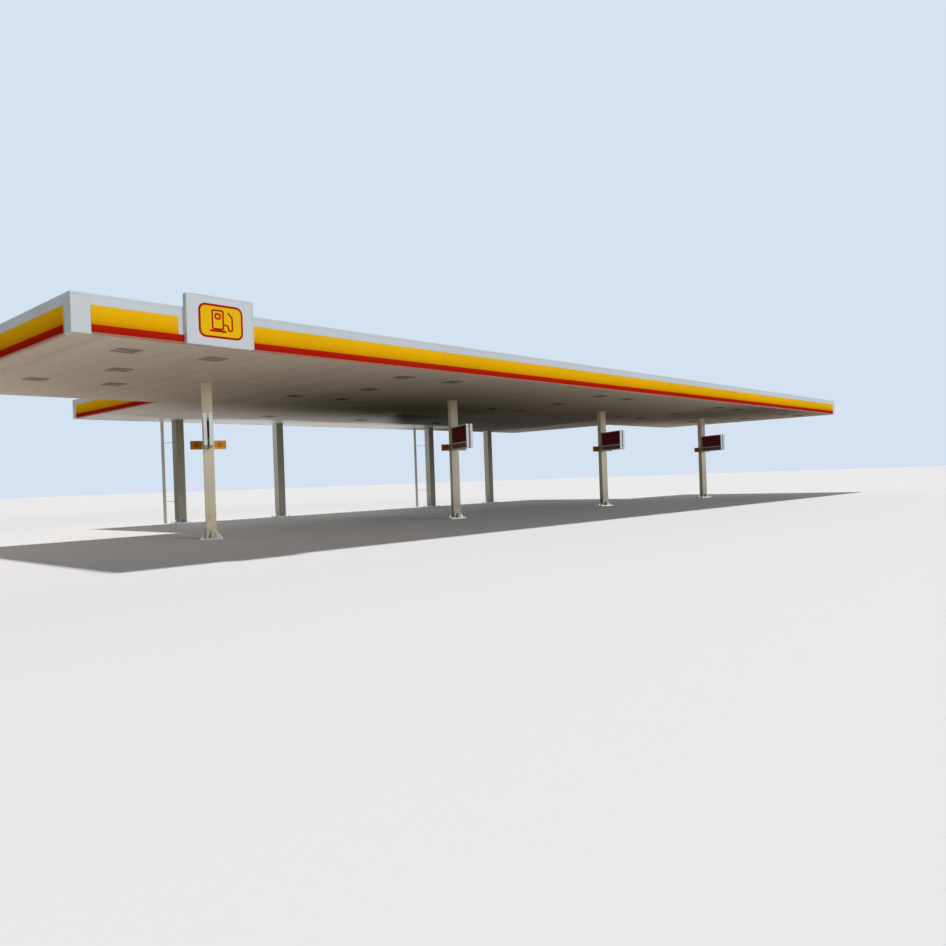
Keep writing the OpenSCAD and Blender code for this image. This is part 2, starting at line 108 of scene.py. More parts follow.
# Light
def sun(name, towards, strength, spread, colour):
    """A distant lamp that shines from the direction `towards`."""
    data = bpy.data.lights.new(name, "SUN")
    data.energy, data.angle, data.color = strength, math.radians(spread), colour
    lamp = new_object(name, data)
    lamp.rotation_mode = "QUATERNION"
    lamp.rotation_quaternion = Vector(towards).to_track_quat("Z", "Y")


def make_world(light, strength, backdrop):
    world = bpy.data.worlds.new("world")
    bpy.context.scene.world = world
    world.use_nodes = True
    nodes_here = Nodes(world.node_tree)
    lighting = nodes_here.fill(world.node_tree.nodes["Background"], {"Color": light, "Strength": strength})
    shown = nodes_here.add("Background", {"Color": backdrop})
    sockets = nodes_here.seen_directly(), lighting.outputs[0], shown.outputs[0]
    mix = nodes_here.add("MixShader", enumerate(sockets))
    nodes_here.fill(world.node_tree.nodes["World Output"], {"Surface": mix.outputs[0]})


def make_floor(shown, bounced, size=600):
    """A wide plain floor: `shown` is its colour to the camera, `bounced` what it throws on the canopy."""
    mesh = bpy.data.meshes.new("floor")
    mesh.from_pydata(at(square(size), 0), [], [(0, 1, 2, 3)])
    look = Look("floor", roughness=0.9)
    look.fill(look.shader, {"Base Color": look.mix(look.seen_directly(), bounced, shown)})
    mesh.materials.append(look.material)
    new_object("floor", mesh)


# Materials
class Nodes:
    """A node tree, with short calls for what goes into it."""

    def __init__(self, tree):
        self.tree = tree

    def fill(self, node, inputs):
        """Feeds a node's sockets, by name or number, with links, numbers or colours."""
        for key, value in dict(inputs).items():
            socket = node.inputs[key]
            if isinstance(value, bpy.types.NodeSocket):
                self.tree.links.new(value, socket)
            elif isinstance(value, tuple) and socket.type == "RGBA":
                socket.default_value = (*value, 1)
            else:
                socket.default_value = value
        return node

    def add(self, kind, inputs=(), **settings):
        node = self.tree.nodes.new("ShaderNode" + kind)
        for name, value in settings.items():
            setattr(node, name, value)
        return self.fill(node, inputs)

    def math(self, operation, *values):
        return self.add("Math", enumerate(values), operation=operation).outputs[0]

    def plus(self, first, second):
        return self.math("ADD", first, second)

    def highest(self, first, second):
        return self.math("MAXIMUM", first, second)

    def times(self, *values):
        total = values[0]
        for value in values[1:]:
            total = self.math("MULTIPLY", total, value)
        return total

    def seen_directly(self):
        """1 for camera, glossy and transmission rays, and 0 for the rays that carry light."""
        path = self.add("LightPath").outputs
        seen = self.highest(path["Is Camera Ray"], path["Is Glossy Ray"])
        return self.highest(seen, path["Is Transmission Ray"])


# Painted shade and painted reflection of dark surroundings under the roof: the stretches along X and Y over
# which it grows and fades, in metres
SHADE_WANDER = 1.8
SHADE_GROWS_X, SHADE_THINS_X, SHADE_FADES_X = (-17.5, -5), (-3, 3), (12, 20)
SHADE_GROWS_Y, SHADE_THINS_Y, SHADE_FADES_Y = (FRONT_Y - 1, FRONT_Y + 8.5), (-4, MID_Y), (0, 5.4)
SHADE_FULL_WIDTH_X, SHADE_NO_REAR_X = (5, 12), (9, 14)
# A slant past which the painted shade fades at the wing's rear left
SLANT_START, SLANT_STEEP, SLANT_EDGE = 4.8, 1.12, (-1.1, 1.0)
# How strong the painted shade is on the columns and on the lights
COLUMN_SHADE, LAMP_SHADE = 0.38, 1.2


class Look(Nodes):
    """A material over the object's own metres. Its colour is painted on in coats, one over the other."""

    def __init__(self, name, roughness=0.5, specular=0.0, metallic=0.0):
        self.name, self.material = name, bpy.data.materials.new(name)
        self.material.use_nodes = True
        super().__init__(self.material.node_tree)
        uniform = {"Roughness": roughness, "Specular IOR Level": specular, "Metallic": metallic}
        self.shader = self.fill(self.tree.nodes["Principled BSDF"], uniform)
        self.place = self.add("TexCoord").outputs["Object"]

    def scaled(self, per_metre, shift=(0, 0, 0)):
        """The place times one number, or times a number for each axis, and then shifted."""
        factors = per_metre if isinstance(per_metre, tuple) else (per_metre,) * 3
        inputs = enumerate((self.place, factors, shift))
        return self.add("VectorMath", inputs, operation="MULTIPLY_ADD").outputs[0]

    def noise(self, per_metre, detail=3.0, rough=0.5):
        inputs = {"Vector": self.scaled(per_metre), "Scale": 1.0, "Detail": detail, "Roughness": rough}
        return self.add("TexNoise", inputs).outputs["Fac"]

    def cells(self, per_metre, shift=(0, 0, 0)):
        """A number from 0 to 1 that is the same all over each cell of a grid."""
        floor = self.add("VectorMath", {0: self.scaled(per_metre, shift)}, operation="FLOOR").outputs[0]
        return self.add("TexWhiteNoise", {"Vector": floor}, noise_dimensions="3D").outputs["Value"]

    def panels(self):
        """A number for each panel of the fascia's grid."""
        return self.cells((1 / PANEL_X, 1 / PANEL_Y, 0), (0.5, 0.5 - SIDE_MID_Y / PANEL_Y, 0))

    def between(self, value, low, high, start=0.0, end=1.0, kind="LINEAR"):
        """Goes from start to end while the value goes from low to high."""
        inputs = enumerate((value, low, high, start, end))
        return self.add("MapRange", inputs, interpolation_type=kind).outputs[0]

    def ease(self, value, stretch, start=0.0, end=1.0):
        """Goes gently from start to end while the value crosses a stretch."""
        return self.between(value, *stretch, start, end, "SMOOTHSTEP")

    def along(self, axis):
        return self.add("SeparateXYZ", {0: self.place}).outputs[axis]

    def facing(self, axis):
        """How far the surface looks along an axis, from -1 to 1."""
        normal = self.add("NewGeometry").outputs["True Normal"]
        return self.add("SeparateXYZ", {0: normal}).outputs[axis]

    def soot(self, most=1.0):
        """Painted shade and painted reflection of dark surroundings: most over the lanes, less at the open
        ends, little at the rear left of a slant.
        """
        wander = self.between(self.noise(0.16, 4, 0.55), 0.2, 0.8, -SHADE_WANDER, SHADE_WANDER)
        x = self.plus(self.along("X"), wander)
        y = self.plus(self.along("Y"), self.times(wander, 0.3))
        across = self.times(self.ease(x, SHADE_GROWS_X), self.ease(x, SHADE_THINS_X, 1, 0.84),
                            self.ease(x, SHADE_FADES_X, 1, 0.62))
        inward = self.highest(self.ease(y, SHADE_GROWS_Y, 0.28, 1), self.ease(x, SHADE_FULL_WIDTH_X, 0, 0.92))
        behind = self.highest(self.ease(y, SHADE_THINS_Y, 1, 0.7), self.ease(x, SHADE_NO_REAR_X, 1, 0))
        slant = self.times(self.plus(self.along("X"), SLANT_START), SLANT_STEEP)
        past_slant = self.math("SUBTRACT", self.plus(self.along("Y"), self.times(wander, 0.35)), slant)
        open_rear = self.highest(self.ease(y, SHADE_FADES_Y, 1, 0), self.ease(past_slant, SLANT_EDGE, 1, 0))
        return self.times(across, inward, behind, open_rear, most)

    def mix(self, factor, first, second, blend="MIX"):
        inputs = {0: factor, MIX_A: first, MIX_B: second}
        return self.add("Mix", inputs, data_type="RGBA", blend_type=blend).outputs[MIX_OUT]

    def shades(self, value, colour, first, second):
        """The first coat, which goes from one shade of a colour to another."""
        self.paint = self.mix(value, shade(colour, first), shade(colour, second))

    def coat(self, factor, colour, blend="MIX"):
        self.paint = self.mix(factor, self.paint, colour, blend)

    def over(self, colour, value, low, high, start=0.0, end=1.0):
        """A coat that goes from start to end while the value goes from low to high."""
        self.coat(self.between(value, low, high, start, end), colour)

    def ramp(self, value, *stops):
        node = self.add("ValToRGB", {0: value})
        stones = node.color_ramp.elements
        while len(stones) < len(stops):
            stones.new(0.5)
        for stone, (position, colour) in zip(stones, stops):
            stone.position, stone.color = position, (*colour, 1)
        self.paint = node.outputs[0]

    def done(self, grain, low, high, *reliefs):
        """The finished look, its roughness from low to high over a grain, its reliefs as (height, depth)."""
        relief = {}
        for height, depth in reliefs:
            bump = self.add("Bump", {"Strength": 1.0, "Distance": depth, "Height": height, **relief})
            relief = {"Normal": bump.outputs[0]}
        roughness = self.between(grain, 0.3, 0.7, low, high)
        self.fill(self.shader, {"Base Color": self.paint, "Roughness": roughness, **relief})
        return self


def shade(colour, factor):
    return tuple(channel * factor for channel in colour)


# The sockets of a mix node's two colours and of its result
MIX_A, MIX_B, MIX_OUT = 6, 7, 2

# Dirt and wear, and the white of a painted reflection
RAIN_STAIN, BAND_DUST, BLACK = (0.3, 0.28, 0.24), (0.35, 0.27, 0.16), (0, 0, 0)
# The first of these is the white of a painted reflection, the second the zinc's real bloom
GLARE_WHITE, ZINC_BLOOM = (0.91, 0.95, 0.94), (0.6, 0.61, 0.6)
MUD, BARE_CHIP = (0.2, 0.17, 0.13), (0.19, 0.11, 0.07)
ROOF_DUST, ROOF_SILT = (0.42, 0.38, 0.31), (0.27, 0.24, 0.19)
ROOF_RUST, PRIMER_RUST = (0.24, 0.1, 0.04), (0.22, 0.09, 0.04)


def coated_sheet(name, colour, tone=0.03, streak=0.1, roughness=(0.28, 0.42), lip=None):
    """Factory-painted sheet: panels a shade apart, faint rain streaks, soft dents and fine grain.

    `lip` is the colour of the folded edge under the red stripe: a dark red-brown that is painted shade in the
    stripe's tint.
    """
    look = Look(name, specular=0.15)
    clouds = look.noise(0.7, 4)
    look.shades(look.panels(), colour, 1 + tone, 1 - tone)
    look.over(shade(colour, 1 - tone), clouds, 0.35, 0.75)
    look.over(RAIN_STAIN, look.noise((9, 9, 0.45), 3, 0.6), 0.52, 0.85, 0, streak)
    if lip:
        look.over(lip, look.along("Z"), RED_LOW - 0.004, RED_LOW, 1, 0)
    dents, grain = look.noise((1.6, 1.6, 1.1), 1), look.noise(420, 2)
    return look.done(clouds, *roughness, (dents, 0.0015), (grain, 0.00006))


def banded_sheet(name, low, high, stops, streak=0.05):
    """Bowed translucent cover: its colour runs from the foot to the top, darker towards the foot as painted
    shade.
    """
    look = Look(name)
    clouds = look.noise((0.9, 0.9, 2.0), 3)
    look.ramp(look.between(look.along("Z"), low, high), *stops)
    look.over(BLACK, look.panels(), 0, 1, 0, 0.06)
    look.over(shade(stops[0][1], 0.55), clouds, 0.45, 0.8, 0, 0.1)
    look.over(BAND_DUST, look.noise((14, 14, 0.6), 3, 0.6), 0.55, 0.9, 0, streak)
    return look.done(clouds, 0.24, 0.4, (look.noise((1.3, 1.3, 0.8), 1), 0.002))


def soffit_sheet(name, colour, most=0.9):
    """Painted planks a shade apart, with painted shade over the lanes and in the wing's rear left corner, and
    a painted reflection of the bright surroundings where the wing's rear lies open.
    """
    look = Look(name)
    drift = look.between(look.noise(0.2, 3), 0.2, 0.8, -1.0, 1.0)
    x, y = (look.plus(look.along(axis), drift) for axis in ("X", "Y"))
    # Painted shade in the rear left corner of the wing's soffit
    shaded_corner = look.times(look.ease(y, (MID_Y + 3.8, MID_Y + 6), 0, 0.55),
                               look.ease(x, (-11.2, -8.8), 1, 0))
    # A painted reflection of the bright surroundings near the wing's open rear edge, where the soffit is also
    # made glossy
    painted_glare = look.times(look.ease(y, (MID_Y + 4.4, BACK_Y - 1.0)), look.ease(x, (1, 6), 1, 0),
                          look.ease(x, (-11.5, -8.5), 0.15, 1))
    look.shades(look.cells((1 / PLANK_W, 0, 0)), colour, 1.05, 0.95)
    look.coat(look.highest(look.soot(most), shaded_corner), shade(colour, 0.06))
    look.coat(painted_glare, GLARE_WHITE)
    look.over(shade(colour, 0.4), look.noise((6.0, 0.35, 1), 3, 0.6), 0.5, 0.85, 0, 0.12)
    look.fill(look.shader, {"Specular IOR Level": painted_glare})
    return look.done(drift, 0.32, 0.42, (look.noise((2.5, 0.5, 1), 2), 0.0012))


def column_coat(name, colour, shaded_side=None):
    """Enamel on steel tube: brush grain up the tube, painted shade under the roof, scuffs and splashes near
    the ground.

    The last argument, where given, is a tint of painted shade laid on the faces to the lanes and on the first
    rear column's left.
    """
    look = Look(name, specular=0.25)
    clouds = look.noise((2.2, 2.2, 0.8), 4)
    look.shades(look.between(clouds, 0.35, 0.7, 0, 0.5), colour, 1.05, 0.86)
    look.over(shade(colour, 0.6), look.noise((60, 60, 1.2), 3, 0.6), 0.5, 0.85, 0, 0.16)
    # Painted shade as under the roof; on the rear columns it lies only on their shaded faces
    shade_mask = look.soot(COLUMN_SHADE)
    if shaded_side:
        to_lanes, to_left = (look.between(look.facing(axis), -0.75, -0.4, 1, 0) for axis in ("Y", "X"))
        first = look.ease(look.along("X"), (-8, -6), 1, 0)
        shaded_faces = look.highest(to_lanes, look.times(to_left, first))
        look.coat(shaded_faces, shaded_side, "MULTIPLY")
        shade_mask = look.times(shade_mask, shaded_faces)
    look.coat(shade_mask, shade(colour, 0.05))
    low = look.between(look.along("Z"), 0.05, 0.95, 1, 0)
    splash = look.between(look.noise((7, 7, 5), 5, 0.65), 0.38, 0.62)
    look.coat(look.times(low, splash, 0.7), MUD)
    look.over(BARE_CHIP, look.noise((38, 38, 26), 4, 0.7), 0.66, 0.7, 0, 0.45)
    return look.done(clouds, 0.34, 0.52, (look.noise(240, 2), 0.00012))


def zinc(name, colour, spangle=26.0, roughness=(0.36, 0.55), metallic=0.75):
    """Galvanised steel with its spangle and dull white bloom."""
    look = Look(name, specular=0.5, metallic=metallic)
    cells = look.add("TexVoronoi", {"Vector": look.scaled(spangle), "Scale": 1.0}, feature="F1")
    flakes = look.add("RGBToBW", {0: cells.outputs["Color"]}).outputs[0]
    bloom = look.noise(1.8, 5, 0.6)
    look.shades(flakes, colour, 0.86, 1.1)
    look.over(ZINC_BLOOM, bloom, 0.45, 0.8, 0, 0.55)
    return look.done(bloom, *roughness, (flakes, 0.00012))


def roof_sheet(name, colour, sheet_w=0.9):
    """Weathered ribbed sheet: dust in the pans, rain marks along the ribs and a stain here and there."""
    look = Look(name, specular=0.12, metallic=0.1)
    run_marks = look.noise((7, 0.35, 1), 4, 0.6)
    clouds = look.noise(0.35, 5, 0.6)
    look.shades(look.cells((1 / sheet_w, 0, 0)), colour, 1.05, 0.93)
    look.over(ROOF_DUST, clouds, 0.42, 0.72, 0, 0.5)
    pan = look.between(look.along("Z"), DECK_LOW.z + DECK_T, DECK_LOW.z + DECK_T + 0.012, 1, 0)
    look.coat(look.times(pan, look.between(run_marks, 0.35, 0.75, 0.05, 0.65)), ROOF_SILT)
    look.over(ROOF_RUST, look.noise((3.0, 1.1, 1), 5, 0.7), 0.66, 0.74, 0, 0.35)
    return look.done(clouds, 0.55, 0.8, (run_marks, 0.0006))


def primer(name, colour):
    """Shop primer on rolled steel, with overspray and bare rusty spots."""
    look = Look(name, specular=0.2)
    clouds = look.noise(3, 5, 0.6)
    look.shades(look.between(clouds, 0.3, 0.7), colour, 1.12, 0.84)
    look.over(PRIMER_RUST, look.noise(9, 5, 0.7), 0.64, 0.7)
    return look.done(clouds, 0.6, 0.8, (clouds, 0.0006))


def plastic(name, colour, roughness=(0.32, 0.5), grime=0.35, specular=0.1, shade_amount=0.0):
    """Moulded or extruded plastic, chalked by the sun and grimy in patches, with painted shade under the roof
    when its last argument is given.
    """
    look = Look(name, specular=specular)
    clouds = look.noise((2.6, 2.6, 1.2), 5, 0.6)
    look.shades(look.between(clouds, 0.3, 0.7), colour, 1, 0.9)
    look.over(shade(colour, 0.5), look.noise((24, 24, 0.8), 3, 0.6), 0.5, 0.85, 0, grime)
    if shade_amount:
        look.coat(look.soot(shade_amount), shade(colour, 0.1))
    return look.done(clouds, *roughness, (look.noise(180, 2), 0.00008))


def lamp_casing(name, colour, gasket):
    """Painted frame of a recessed light, darkened by painted shade under the roof, with a dark gasket round
    its sides.
    """
    look = Look(name)
    clouds = look.noise(4, 4, 0.6)
    look.shades(look.between(clouds, 0.35, 0.7), colour, 1.05, 0.85)
    look.coat(look.soot(LAMP_SHADE), shade(colour, 0.06))
    look.over(gasket, look.math("ABSOLUTE", look.facing("Z")), 0.5, 0.6, 1, 0)
    return look.done(clouds, 0.45, 0.65, (clouds, 0.0002))


def lens_glass(name, colour):
    """Dusty prismatic glass over a lamp chamber, darkened by painted shade under the roof."""
    look = Look(name)
    grid = {"Vector": look.scaled((70, 70, 1)), "Scale": 1.0, "Randomness": 0.0}
    cells = look.add("TexVoronoi", grid, feature="DISTANCE_TO_EDGE", voronoi_dimensions="2D")
    prisms, dust = cells.outputs["Distance"], look.noise(5, 4, 0.6)
    look.shades(look.between(prisms, 0.0, 0.3), colour, 0.7, 1.1)
    look.over(shade(colour, 1.3), dust, 0.4, 0.7, 0, 0.4)
    look.coat(look.soot(LAMP_SHADE), shade(colour, 0.06))
    return look.done(dust, 0.16, 0.34, (prisms, 0.0004))


# Colours, those of the bands as stops from their foot to their top, darker towards the foot as painted shade
WHITE = (0.61, 0.67, 0.72)
YELLOW = ((0.0, (0.66, 0.26, 0.003)), (0.22, (0.8, 0.39, 0.003)), (0.6, (0.9, 0.48, 0.004)),
          (1.0, (0.93, 0.53, 0.012)))
RED = ((0.0, (0.37, 0.011, 0.003)), (0.4, (0.46, 0.012, 0.003)), (1.0, (0.48, 0.015, 0.003)))
# The folded edge's colour: painted shade in the red stripe's tint
LIP = (0.42, 0.17, 0.095)

materials = {look.name: look.material for look in (
    coated_sheet("fascia_white", WHITE, lip=LIP),
    coated_sheet("corner_white", WHITE),
    coated_sheet("sign_white", (0.64, 0.69, 0.74), 0.01, 0.05, (0.18, 0.3)),
    coated_sheet("board_white", (0.72, 0.75, 0.79), 0.01, 0.12),
    banded_sheet("yellow_band", YELLOW_LOW, YELLOW_HIGH, YELLOW),
    banded_sheet("red_stripe", RED_LOW, YELLOW_LOW, RED),
    # Both soffits carry painted shade and a painted reflection; the wing's painted shade is the stronger
    soffit_sheet("soffit_paint", (0.77, 0.675, 0.585)),
    soffit_sheet("wing_soffit_paint", (0.8, 0.77, 0.77), 1.0),
    column_coat("column_paint", (0.74, 0.65, 0.49)),
    # The rear columns' paint, with a tint of painted shade for their faces to the lanes
    column_coat("rear_column_paint", (0.74, 0.74, 0.69), (0.38, 0.365, 0.297)),
    zinc("galvanised_steel", (0.5, 0.51, 0.52)),
    zinc("fixings", (0.55, 0.55, 0.54), 140.0, (0.22, 0.4), 1.0),
    primer("primer_steel", (0.3, 0.12, 0.08)),
    roof_sheet("deck_sheet", (0.55, 0.56, 0.55)),
    lamp_casing("light_body", (0.58, 0.52, 0.45), (0.26, 0.23, 0.2)),
    lens_glass("light_lens", (0.43, 0.38, 0.33)),
    plastic("joint_sealant", (0.5, 0.55, 0.6), (0.6, 0.8), 0.1, 0.02),
    plastic("rib_foam", (0.09, 0.09, 0.09), (0.7, 0.9), 0.1, 0.02),
    plastic("sign_yellow", (0.93, 0.56, 0.01), grime=0.1, specular=0.0),
    plastic("sign_red", (0.48, 0.014, 0.006), grime=0.15, specular=0.0),
    # The last number is the strength of the painted shade from under the roof
    plastic("soffit_screw", (0.4, 0.37, 0.31), (0.4, 0.6), 0.2, 0.0, 0.88),
    plastic("pipe_plastic", (0.66, 0.64, 0.58)),
    plastic("board_maroon", (0.18, 0.03, 0.038), (0.25, 0.4), 0.1, 0.0),
    plastic("board_foot", (0.21, 0.155, 0.14), (0.4, 0.6), 0.2, 0.0),
    # Each flag's last number is the strength of the painted shade from under the roof
    plastic("flag_orange", (0.84, 0.36, 0.02), (0.28, 0.42), 0.2, 0.0, 0.5),
    plastic("flag_disc", (0.45, 0.12, 0.01), (0.28, 0.42), 0.2, 0.0, 0.5),
    plastic("flag_number", (0.7, 0.58, 0.42), (0.3, 0.5), 0.1, 0.0, 0.5),
)}

# The finish of each node, by the first of these words that its name holds
NODE_FINISHES = {
    "fascia": "fascia_white", "corner_panels": "corner_white", "sign_panel": "sign_white",
    "yellow_bands": "yellow_band", "red_stripes": "red_stripe", "front_column": "column_paint",
    "rear_column": "rear_column_paint", "wing_soffit": "wing_soffit_paint", "soffit": "soffit_paint",
    "base_plates": "galvanised_steel", "parapet_brackets": "galvanised_steel", "purlins": "galvanised_steel",
    "board_arms": "galvanised_steel", "cross_beams": "primer_steel", "deck": "deck_sheet",
    "gutter": "deck_sheet", "downpipes": "pipe_plastic", "lights": "light_body",
    "board_pair": "board_white", "board_panels": "board_maroon", "number_flags": "flag_orange",
}


def finish_nodes():
    for name, node in nodes.items():
        finish = next(finish for word, finish in NODE_FINISHES.items() if word in name)
        if not node.data.materials:
            node.data.materials.append(None)
        for i in range(len(node.data.materials)):
            node.data.materials[i] = materials[finish]


# Shapes
def moved(x, y, z):
    return Matrix.Translation((x, y, z))


def turned(angle, axis="Z"):
    return Matrix.Rotation(angle, 4, axis)


def laid(x0, y0, x1, y1):
    """A place whose x runs from one point to another, and how far they lie apart."""
    return moved(x0, y0, 0) @ turned(math.atan2(y1 - y0, x1 - x0)), math.hypot(x1 - x0, y1 - y0)


# Turns that point a fitting's z to the front, to the rear or down
QUARTER = math.pi / 2
TO_FRONT, TO_REAR, TO_GROUND = turned(QUARTER, "X"), turned(-QUARTER, "X"), turned(math.pi, "X")
HERE = Matrix.Identity(4)


def circle(radius, sides):
    step = math.tau / sides
    return [(radius * math.cos(i * step), radius * math.sin(i * step)) for i in range(sides)]


def rectangle(x0, y0, x1, y1, grown=0.0):
    """A rectangle, grown on all sides."""
    x0, y0, x1, y1 = x0 - grown, y0 - grown, x1 + grown, y1 + grown
    return [(x0, y0), (x1, y0), (x1, y1), (x0, y1)]


def square(half):
    return rectangle(-half, -half, half, half)


def rounded(x0, y0, x1, y1, radius, steps=4):
    """A rectangle with round corners."""
    corners = [(x1 - radius, y0 + radius, -90), (x1 - radius, y1 - radius, 0),
               (x0 + radius, y1 - radius, 90), (x0 + radius, y0 + radius, 180)]
    return [
        (x + radius * math.cos(math.radians(start + 90 * i / steps)),
         y + radius * math.sin(math.radians(start + 90 * i / steps)))
        for x, y, start in corners for i in range(steps + 1)
    ]


def pad(half_x, half_y, radius, steps=4):
    """A rectangle with round corners about the origin."""
    return rounded(-half_x, -half_y, half_x, half_y, radius, steps)


def at(outline, z):
    return [(x, y, z) for x, y in outline]


def four(x, y):
    """The four points that lie x and y from the origin."""
    return [(u, v) for u in (-x, x) for v in (-y, y)]


def row(count, pitch):
    """Evenly spaced places, with their middle at 0."""
    return [(i - (count - 1) / 2) * pitch for i in range(count)]


SHAPES = []


class Shape:
    """Points and faces of one piece, gathered from simple forms.

    Its look is its slot's, if none is given, and a fixed one's screws or bolts have a look of their own.
    """

    def __init__(self, name, slot, look=None, fixed=False, bevel=0.0):
        self.name, self.slot, self.bevel = name, slot, bevel
        self.looks = [look or slot] + ["fixings"] * fixed
        self.points, self.faces, self.finishes = [], [], []
        SHAPES.append(self)

    def add(self, points, faces, place=HERE, finish=0):
        first = len(self.points)
        self.points += [place @ Vector(point) for point in points]
        self.faces += [[first + i for i in face] for face in faces]
        self.finishes += [finish % len(self.looks)] * len(faces)

    def layers(self, rings, place=HERE, finish=0, ends=True, closed=False):
        """Rings of as many points each, joined one to the next, and if closed the last to the first."""
        count, total = len(rings[0]), len(rings)
        faces = []
        for k in range(total if closed else total - 1):
            here, there = k * count, (k + 1) % total * count
            for i in range(count):
                j = (i + 1) % count
                faces.append([here + i, here + j, there + j, there + i])
        if ends and not closed:
            faces += [range(count)[::-1], range((total - 1) * count, total * count)]
        self.add([point for ring in rings for point in ring], faces, place, finish)

    def prism(self, outline, z0, z1, place=HERE, finish=0):
        self.layers([at(outline, z0), at(outline, z1)], place, finish)

    def block(self, corner, opposite, place=HERE):
        """A box between any two opposite corners."""
        (x0, y0, z0), (x1, y1, z1) = corner, opposite
        self.prism(rectangle(x0, y0, x1, y1), z0, z1, place)

    def frame(self, outer, inner, z0, z1, place):
        """A flat ring between two outlines of as many points each."""
        rings = [[(*far, z0), (*far, z1), (*near, z1), (*near, z0)] for far, near in zip(outer, inner)]
        self.layers(rings, place, closed=True)

    def sleeve(self, outer, inner, z0, z1, place, sides=24):
        self.frame(circle(outer, sides), circle(inner, sides), z0, z1, place)

    def lathe(self, profile, place, sides, finish=0, size=1.0):
        """A profile of (radius, height), times a size, turned round Z."""
        self.layers([at(circle(size * r, sides), size * z) for r, z in profile], place, finish)

    def bar(self, section, s0, s1, place):
        """A section of (out, z) laid along a side, from s0 to s1."""
        self.layers([[(s, -out, z) for out, z in section] for s in (s0, s1)], place)

    def ring_round(self, section, open_side=-1):
        """A section of (out, z) run round the roof's outline, mitred at its corners, but for an open side."""
        rings = []
        for k in range(open_side + 1, open_side + 1 + len(OUTLINE)):
            (x, y), reach = OUTLINE[k % len(OUTLINE)], outward(k - 1) + outward(k)
            rings.append([(x + out * reach.x, y + out * reach.y, z) for out, z in section])
        self.layers(rings, closed=open_side < 0)

    def make(self):
        """The object, fixed to the body and finishes."""
        mesh = bpy.data.meshes.new(self.name)
        mesh.from_pydata(self.points, [], self.faces)
        mesh.polygons.foreach_set("material_index", self.finishes)
        for look in self.looks:
            mesh.materials.append(materials[look])
        work = bmesh.new()
        work.from_mesh(mesh)
        bmesh.ops.recalc_face_normals(work, faces=work.faces)
        work.to_mesh(mesh)
        work.free()
        thing = new_object(self.name, mesh)
        if self.bevel:
            edge = thing.modifiers.new("bevel", "BEVEL")
            edge.width, edge.segments, edge.limit_method = self.bevel, 1, "ANGLE"
        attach(thing, "root")


# The roof's outline, from its front left corner round to the right
OUTLINE = [
    (-HALF_LEN, FRONT_Y), (HALF_LEN, FRONT_Y), (HALF_LEN, MID_Y), (HALF_WING, MID_Y),
    (HALF_WING, BACK_Y), (-HALF_WING, BACK_Y), (-HALF_WING, MID_Y), (-HALF_LEN, MID_Y),
]
INNER_CORNERS, WING_REAR = (3, 6), 4

# How far panels and bands stop short of an inner corner, and the least width of a panel
INNER_CUT, BAND_CUT, LEAST_PANEL = SHEET, 0.16, 0.4


def outward(k):
    """The outward direction of the side that starts at a corner."""
    (x0, y0), (x1, y1) = OUTLINE[k % len(OUTLINE)], OUTLINE[(k + 1) % len(OUTLINE)]
    return Vector((y1 - y0, x0 - x1)).normalized()


class Side:
    """One side between its corner panels. From outside, its x runs to the right and its y inward."""

    def __init__(self, k):
        after = (k + 1) % len(OUTLINE)
        (x0, y0), (x1, y1) = OUTLINE[k], OUTLINE[after]
        self.place, length = laid(x0, y0, x1, y1)
        inner = [corner in INNER_CORNERS for corner in (k, after)]
        cuts = [INNER_CUT if here else CORNER_LEN for here in inner]
        self.start, self.end = cuts[0], length - cuts[1]
        # At an inner corner the bands stop short, and by a sheet more on the sides along Y
        band_cut = BAND_CUT - INNER_CUT + (SHEET if x0 == x1 else 0)
        self.band_start, self.band_end = self.start + band_cut * inner[0], self.end - band_cut * inner[1]
        panel, centre, first, last = (PANEL_X, 0, x0, x1) if x0 != x1 else (PANEL_Y, SIDE_MID_Y, y0, y1)
        edges = row(FRONT_PANELS + 1, panel)
        crossings = [(centre + edge - first) / (last - first) * length for edge in edges]
        self.joints = sorted(s for s in crossings if self.start + LEAST_PANEL < s < self.end - LEAST_PANEL)


SIDES = [Side(k) for k in range(len(OUTLINE))]


def solids(node):
    """The lowest and highest corner of each separate solid of a node, from left to right."""
    mesh = nodes[node].data
    spots = [tuple(round(value, 5) for value in vertex.co) for vertex in mesh.vertices]
    groups = {spot: [spot] for spot in spots}
    for edge in mesh.edges:
        small, large = sorted((groups[spots[i]] for i in edge.vertices), key=len)
        if small is not large:
            large += small
            groups.update(dict.fromkeys(small, large))
    found = {id(group): group for group in groups.values()}.values()
    boxes = [[Vector(list(map(pick, zip(*group)))) for pick in (min, max)] for group in found]
    return sorted(boxes, key=lambda box: (round(box[0].x, 3), round(box[0].y, 3)))


def middle(box):
    return (box[0] + box[1]) / 2


def under(box):
    """The place on the ground under a box's middle."""
    return moved(*middle(box).xy, 0)


FRONT_COLUMNS = [under(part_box(f"front_column_{i}")) @ turned(FRONT_TURN) for i in range(1, 5)]
REAR_COLUMNS = [under(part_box(f"rear_column_{i}")) for i in range(1, 5)]
COLUMNS = [(place, FRONT_TUBE) for place in FRONT_COLUMNS] + [(place, REAR_TUBE) for place in REAR_COLUMNS]

# Small fixings, as (radius, height) in shares of their size, with the last look of their shape
LAST = -1
WASHER_R, WASHER_T = 0.95, 0.14
NUT = [(0.72, WASHER_T), (0.77, 0.22), (0.77, 0.82), (0.66, 0.94)]
SCREW = [(1.5, 0), (1.5, 0.25), (0.9, 0.3), (0.8, 0.95)]
STUD_R, STUD_TIP_R, STUD_FOOT, STUD_TIP = 0.46, 0.38, 0.9, 0.003


